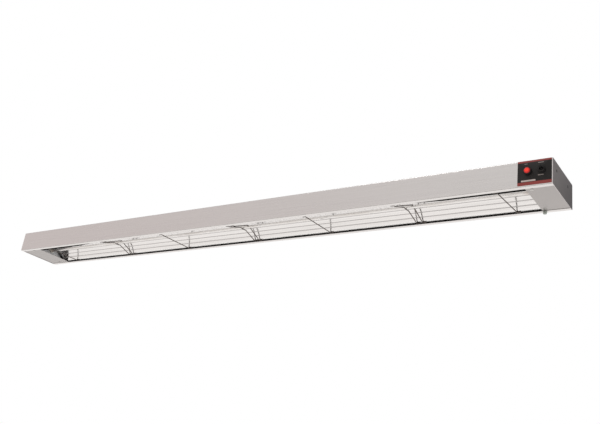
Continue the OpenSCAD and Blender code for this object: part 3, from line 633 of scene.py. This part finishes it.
def plate(low, high, corner, soft, sides=8):
    """A plate that faces -Y: four quarter circles make its outline, which is repeated at the
    back, at the front edge and, drawn in by the softened edge, on the face."""
    quarter = np.linspace(0, np.pi / 2, sides)
    turn = np.concatenate([quarter + n * np.pi / 2 for n in range(4)])
    middle = (np.array(low) + np.array(high)) / 2
    half = (np.array(high) - np.array(low)) / 2 - corner
    sign_x = np.repeat([1, -1, -1, 1], sides)
    sign_z = np.repeat([1, 1, -1, -1], sides)
    rings = [(0, 0), (1 - soft / (high[1] - low[1]), 0), (1 - 0.3 * soft / (high[1] - low[1]), 0.3 * soft),
             (1, soft)]
    points = [np.stack([middle[0] + sign_x * half[0] + (corner - drawn_in) * np.cos(turn),
                        high[1] - depth * (high[1] - low[1]) + 0 * turn,
                        middle[2] + sign_z * half[2] + (corner - drawn_in) * np.sin(turn)], -1)
              for depth, drawn_in in rings]
    return shell(np.array(points))


piece("panel_plate", [plate(panel_low, panel_high, 0.0012, 0.00025)], ink,
      ["control_panel"])


# ---- Pilot light --------------------------------------------------------------------------
# A low red lens, moulded with fine flutes round its rim, snaps onto a tall black collar. The
# threaded body behind the wall is held by a plain nut, and carries two spade tabs.
# The lens's emission is painted glow, strongest in the middle, and its colour darkens towards the rim:
# painted shade on the sides of the dome.
lens_painted_glow = Finish("lens_red", Coat_Weight=0.25, Coat_Roughness=0.08, Specular_IOR_Level=0.35,
              Emission_Strength=0.5)
gx, _, gz = lens_painted_glow.split(lens_painted_glow.place)
off_centre = ((gx - lens_x) ** 2.0 + (gz - control_z) ** 2.0) ** 0.5
lens_radius = (lens_high.x - lens_low.x) / 2
painted_glow_falloff = lens_painted_glow.ramp(off_centre, 0.25 * lens_radius, 1.0 * lens_radius)
mould = lens_painted_glow.noise((700.0, 700.0, 700.0), 2.0)
lens_painted_glow.set("Base Color", lens_painted_glow.mix(painted_glow_falloff, (0.74, 0.020, 0.010, 1), (0.46, 0.010, 0.010, 1)))
lens_painted_glow.set("Emission Color", lens_painted_glow.mix(painted_glow_falloff, (0.75, 0.05, 0.02, 1), (0.10, 0.004, 0.003, 1)))
lens_painted_glow.set("Roughness", 0.16 + 0.1 * mould)
lens_painted_glow.bump(mould, 0.00001)

lens_rise = lens_high.y - lens_low.y
flutes = 1 + 0.012 * np.cos(np.arange(96) * 2 * np.pi / 96 * 24)
dome_turn = np.linspace(0, np.pi / 2, 14)
lens_height = np.concatenate([[0, 0.0003], lens_rise * (0.2 + 0.8 * np.sin(dome_turn)), [lens_rise] * 2])
lens_share = np.concatenate([[1, 1], 1 - 0.4 * (1 - np.cos(dome_turn)), [0.4, 0.1]])
lens_radii = lens_share[:, None] * lens_radius * np.where(
    np.arange(len(lens_share))[:, None] < 5, flutes / flutes.max(), 1)
piece("pilot_dome", [turned(lens_height, lens_radii, (lens_x, lens_high.y, control_z), (0, -1, 0), 96)],
      lens_painted_glow, ["pilot_lens"])

moulded = Finish("plastic_black", Specular_IOR_Level=0.25)
pits = moulded.noise((1400.0, 1400.0, 1400.0), 3.0)
dust = moulded.noise((90.0, 90.0, 90.0), 3.0)
moulded.shade((0.012, 0.011, 0.011, 1), (0.004, 0.004, 0.004, 1), moulded.ramp(dust, 0.3, 0.7))
moulded.set("Roughness", 0.34 + 0.2 * pits + 0.1 * dust)
moulded.bump(pits, 0.00004)

case_low, case_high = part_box("pilot_body")
collar_radius, case_radius, edge = (case_high.x - case_low.x) / 2, 0.006, 0.0012
panel_face = panel_low.y
collar_rise = panel_face - lens_high.y
edge_turn = np.linspace(0, np.pi / 2, 8)
collar_height = np.concatenate([[0, 0.001], collar_rise - edge * (1 - np.sin(edge_turn)), [collar_rise]])
collar_radii = np.concatenate([[collar_radius] * 2, collar_radius - edge * (1 - np.cos(edge_turn)), [0.004]])
collar = turned(collar_height, collar_radii, (lens_x, panel_face, control_z), (0, -1, 0), 64)
tab_back = case_high.y
body_back = tab_back - 0.008
case = threaded(0, body_back - panel_face, 0.0056, case_radius, 0.001,
                (lens_x, panel_face, control_z), (0, 1, 0), 40)


def spade(centre, width, length, thick):
    """A spade tab that runs along +Y: a flat ring of four corners, drawn in to a chamfer."""
    corners = np.array([(1, 1), (-1, 1), (-1, -1), (1, -1)]) / 2
    reach = np.array([0, 0.8, 1.0]) * length
    scale = np.array([(width, thick), (width, thick), (0.7 * width, 0.6 * thick)])
    flat = corners[None] * scale[:, None]
    points = np.stack([flat[..., 0], reach[:, None] + 0 * flat[..., 0], flat[..., 1]], -1)
    return shell(points[:, ::-1] + np.array(centre))


tabs = [spade((lens_x, body_back, control_z + step), 0.0032, 0.008, 0.0008) for step in (-0.0034, 0.0034)]
piece("pilot_case", [collar, case, *tabs], moulded, ["pilot_body"])
dress(moulded, "pilot_nut")


# ---- Toggle switch ------------------------------------------------------------------------
# A sealed bat-handle toggle: a blackened bushing with a fine thread, a knurled dress nut on the
# panel, and a brown moulded body with spade tabs behind the wall. Only the handle moves.
blackened = brushed("bushing_metal", (0.035, 0.033, 0.033, 1.0), 0.40, (600.0, 600.0, 600.0), 0.00001)
bush_low, bush_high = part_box("switch_bushing")
bush_radius, bush_bore = (bush_high.x - bush_low.x) / 2, (bush_high.x - bush_low.x) / 2 - 0.0022
bush_length = bush_high.y - bush_low.y
thread_height = np.linspace(0.0006, bush_length, 130)
thread_phase = (thread_height[:, None] / 0.00085 - np.arange(48) / 48) % 1
thread_radius = bush_radius - 0.00035 * abs(2 * thread_phase - 1)
mouth = np.array([[bush_length, bush_bore], [0.0006, bush_bore], [0, bush_bore + 0.0006],
                  [0, bush_radius - 0.0007], [0.0003, bush_radius - 0.0003]])
piece("toggle_bushing", [turned(
    np.vstack([mouth[:, :1] + np.zeros(48), thread_height[:, None] + np.zeros(48)]),
    np.vstack([mouth[:, 1:] + np.zeros(48), thread_radius]),
    (switch_x, bush_low.y, control_z), (0, 1, 0), 48, closed=True)],
    blackened, ["switch_bushing"])

nut_low, nut_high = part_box("switch_nut")
nut_radius, nut_rise = (nut_high.x - nut_low.x) / 2, nut_high.y - nut_low.y
knurl = 0.00028 * (1 - np.cos(np.arange(144) * 2 * np.pi / 144 * 36))
nut_height = np.array([0, 0, 0.0003, nut_rise - 0.0006, nut_rise, nut_rise])
nut_radii = np.array([bush_radius + 0.0001, nut_radius - 0.0004, nut_radius, nut_radius,
                      nut_radius - 0.0008, bush_radius + 0.0001])[:, None] + np.zeros(144)
nut_radii[2:4] -= knurl
piece("toggle_nut", [turned(nut_height, nut_radii, (switch_x, nut_high.y, control_z), (0, -1, 0), 144,
                            closed=True)], moulded, ["switch_nut"])

pivot = Vector(next(joint for joint in frame["joints"] if joint["name"] == "toggle_pivot")["pos_m"])
tilt = math.radians(13.0)
bat_axis = Vector((0, -math.cos(tilt), math.sin(tilt)))
bat_reach, bat_tip, bat_root, ball = 0.015, 0.0030, 0.0017, 0.0034
ball_turn = np.linspace(-0.36 * np.pi, 0.33 * np.pi, 14)
tip_turn = np.linspace(0, 0.48 * np.pi, 10)
arm_height = np.linspace(ball * 0.9, bat_reach - bat_tip, 12)
arm_radius = bat_root + (bat_tip - bat_root) * (arm_height / (bat_reach - bat_tip)) ** 1.4
bat_height = np.concatenate([[-0.0050, -0.0048, -0.0035], ball * np.sin(ball_turn), arm_height,
                             bat_reach - bat_tip * (1 - np.sin(tip_turn))])
bat_radius = np.concatenate([[0.0009, 0.0015, 0.0016], ball * np.cos(ball_turn), arm_radius,
                             bat_tip * np.cos(tip_turn)])
piece("toggle_bat", [turned(bat_height, bat_radius, pivot, bat_axis, 40)],
      moulded, ["switch_lever"], body="toggle", crease=60)

resin = Finish("phenolic_brown", Roughness=0.5)
resin_fleck = resin.noise((800.0, 800.0, 800.0), 4.0)
resin.shade((0.20, 0.095, 0.045, 1), (0.10, 0.045, 0.022, 1), resin.ramp(resin_fleck, 0.35, 0.65))
resin.set("Roughness", 0.42 + 0.2 * resin_fleck)
resin.bump(resin_fleck, 0.00002)
dress(resin, "switch_body")


# ---- Terminal block and leads -------------------------------------------------------------
# A three-pole ceramic block under the top joins the supply to the switch and to the far end of
# the element. The leads are stranded wire in silicone, held by clips along the top.
dress(clay, "terminal_block")
dress(brass, "terminal_screws")
for slot, colour, nodes in (
    ("lead_black", (0.022, 0.022, 0.022), ["line_lead"]),
    ("lead_red", (0.46, 0.035, 0.025), ["switched_lead", "pilot_lead_live"]),
    ("lead_white", (0.78, 0.77, 0.73), ["return_lead", "pilot_lead_neutral"]),
    ("lead_green", (0.045, 0.30, 0.085), ["ground_lead"]),
):
    rubber = Finish(slot)
    braid = rubber.noise((700.0, 700.0, 700.0), 3.0)
    scuff = rubber.noise((120.0, 120.0, 120.0), 2.0)
    rubber.shade((*colour, 1), (*(0.7 * part for part in colour), 1), rubber.ramp(scuff, 0.3, 0.65))
    rubber.set("Roughness", 0.46 + 0.2 * braid)
    rubber.bump(braid, 0.00004)
    dress(rubber, *nodes)
dress(zinc, "lead_clips")


# ---- Ground screw and power inlet ---------------------------------------------------------
# A green hex screw grounds the rear wall. Beside it a black snap bushing guards the hole where
# the supply comes in: a wide soft flange outside, and sprung fingers inside.
green = brushed("ground_green", (0.10, 0.40, 0.19, 1.0), 0.38, (500.0, 500.0, 500.0), 0.00001, 0.2)
earth_low, earth_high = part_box("ground_screw")
earth_x, earth_z = (earth_low.x + earth_high.x) / 2, (earth_low.z + earth_high.z) / 2


def hexagonal(sides, half_width):
    """The radius of a hexagon at each angle: half its width over the cosine of the angle from
    the middle of the nearest flat."""
    angle = np.arange(sides) * 2 * np.pi / sides
    return half_width / np.cos((angle + np.pi / 6) % (np.pi / 3) - np.pi / 6)


def hex_head(centre, axis, flange_radius, flange, half_width, rise, sides=72):
    """A hex head on a round flange: the flange's edge is rounded, the flats rise straight, and
    the top corners are cut back by a chamfer to a round, dished top."""
    flats = hexagonal(sides, half_width)
    rows = [(0, flange_radius * 0.97 + 0 * flats), (0.3 * flange, flange_radius + 0 * flats),
            (0.7 * flange, flange_radius * 0.98 + 0 * flats), (flange, flats * 1.03), (1.15 * flange, flats),
            (rise - 0.0006, flats), (rise - 0.0001, np.minimum(flats, half_width) * 0.985),
            (rise, np.full(sides, half_width * 0.93)), (rise, np.full(sides, half_width * 0.62)),
            (rise - 0.0004, np.full(sides, half_width * 0.5)),
            (rise - 0.0004, np.full(sides, half_width * 0.05))]
    return turned(np.array([[height] * sides for height, _ in rows]), np.array([ring for _, ring in rows]),
                  centre, axis, sides)


piece("earth_screw", [
    hex_head((earth_x, rear, earth_z), (0, 1, 0), 0.0046, 0.0005, 0.0036, earth_high.y - rear),
    threaded(0, rear - earth_low.y - 0.0002, 0.0022, 0.0025, 0.0008, (earth_x, earth_low.y, earth_z),
             (0, 1, 0))], green, ["ground_screw"])
dress(plated, "ground_nut")

inlet_low, inlet_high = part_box("inlet_bushing")
inlet_x, inlet_z = (inlet_low.x + inlet_high.x) / 2, (inlet_low.z + inlet_high.z) / 2
inlet_bore, inlet_neck, inlet_flange = 0.0075, 0.0111, (inlet_high.x - inlet_low.x) / 2
inlet_reach = rear - inlet_low.y
ring_profile = rounded(np.array([
    [0.0002, inlet_bore], [inlet_reach + 0.002, inlet_bore], [inlet_reach + 0.002, inlet_flange],
    [inlet_reach, inlet_flange], [inlet_reach, inlet_neck], [inlet_reach - 0.0010, inlet_neck],
    [inlet_reach - 0.0010, inlet_neck + 0.0007], [0.006, inlet_neck - 0.0003],
    [0.0002, inlet_neck - 0.0010]]), 0.0008, 4)
fingers = np.where((np.arange(96) % 16 < 2)[None] & (ring_profile[:, :1] < 0.005)
                   & (ring_profile[:, 1:] > inlet_bore + 0.0005), 0.0012, 0.0)
piece("inlet_ring", [turned(ring_profile[:, :1] + np.zeros(96), ring_profile[:, 1:] - fingers,
                            (inlet_x, inlet_low.y, inlet_z), (0, 1, 0), 96,
                            closed=True)], moulded, ["inlet_bushing"])


# ---- Hanging nuts -------------------------------------------------------------------------
# Steel rivet nuts pulled into the top take the studs or chains that the warmer hangs from.
dress(plated, "mount_nuts")


# ---- Bottom covers ------------------------------------------------------------------------
# Plain stainless covers lie on the lips and close the wiring at both ends. Pan head screws go
# up into small brackets, and one flanged hex screw hangs under the rear lip.
cover_skin = brushed("stainless_cover", (0.42, 0.40, 0.39, 1.0), 0.36, across, 0.00002, 0.06)
dress(cover_skin, "cover_left", "cover_right")
dress(zinc, "cover_brackets")

cover_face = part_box("cover_left")[0].z
cover_low, cover_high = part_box("cover_screws")
cover_head_radius, cover_head_rise, cover_shank = 0.004, 0.0016, 0.002
left_screw_x = cover_low.x + cover_head_radius
right_screw_x = cover_high.x - cover_head_radius
cover_screw_y = cover_high.y - cover_head_radius
cover_shells = []
for x, y in ((left_screw_x, -cover_screw_y), (left_screw_x, cover_screw_y), (right_screw_x, -cover_screw_y)):
    cover_shells += [pan_head((x, y, cover_face), (0, 0, -1), cover_head_radius, cover_head_rise),
                     threaded(0.0001, 0.0088, 0.0017, cover_shank, 0.0008, (x, y, cover_face), (0, 0, 1))]
piece("cover_pan_screws", cover_shells, plated, ["cover_screws"])

dark_plate = brushed("screw_dark", (0.33, 0.36, 0.33, 1.0), 0.30, (500.0, 500.0, 500.0), 0.00001, 0.3)
hex_low, hex_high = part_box("cover_hex_screw")
hex_x, hex_y = (hex_low.x + hex_high.x) / 2, (hex_low.y + hex_high.y) / 2
piece("cover_flange_screw", [
    hex_head((hex_x, hex_y, lips), (0, 0, -1), 0.0055, 0.001, 0.004, lips - hex_low.z),
    threaded(0.0001, 0.0088, 0.0017, cover_shank, 0.0008, (hex_x, hex_y, lips), (0, 0, 1))],
    dark_plate, ["cover_hex_screw"])


# ---- Floor --------------------------------------------------------------------------------
# The floor lies far below the hung warmer.
floor_finish = Finish("floor_pale", Roughness=0.9, Emission_Strength=0.66)
floor_cloud = floor_finish.noise((0.8, 0.8, 0.8), 2.0)
floor_finish.shade((0.92, 0.91, 0.90, 1), (0.88, 0.87, 0.86, 1), floor_cloud)
floor_far = floor_finish.ramp(floor_finish.split(floor_finish.place)[1], -2.5, 6.0)
floor_finish.set("Emission Color", floor_finish.mix(floor_far, (0.70, 0.68, 0.66, 1), (0.92, 0.91, 0.90, 1)))
floor_half, floor_z = 400.0, -4.2
floor_mesh = bpy.data.meshes.new("floor")
floor_mesh.from_pydata([(-floor_half, -floor_half, floor_z), (floor_half, -floor_half, floor_z),
                        (floor_half, floor_half, floor_z), (-floor_half, floor_half, floor_z)],
                       [], [(0, 1, 2, 3)])
floor_mesh.materials.append(floor_finish.material)
floor = bpy.data.objects.new("floor", floor_mesh)
bpy.context.scene.collection.objects.link(floor)
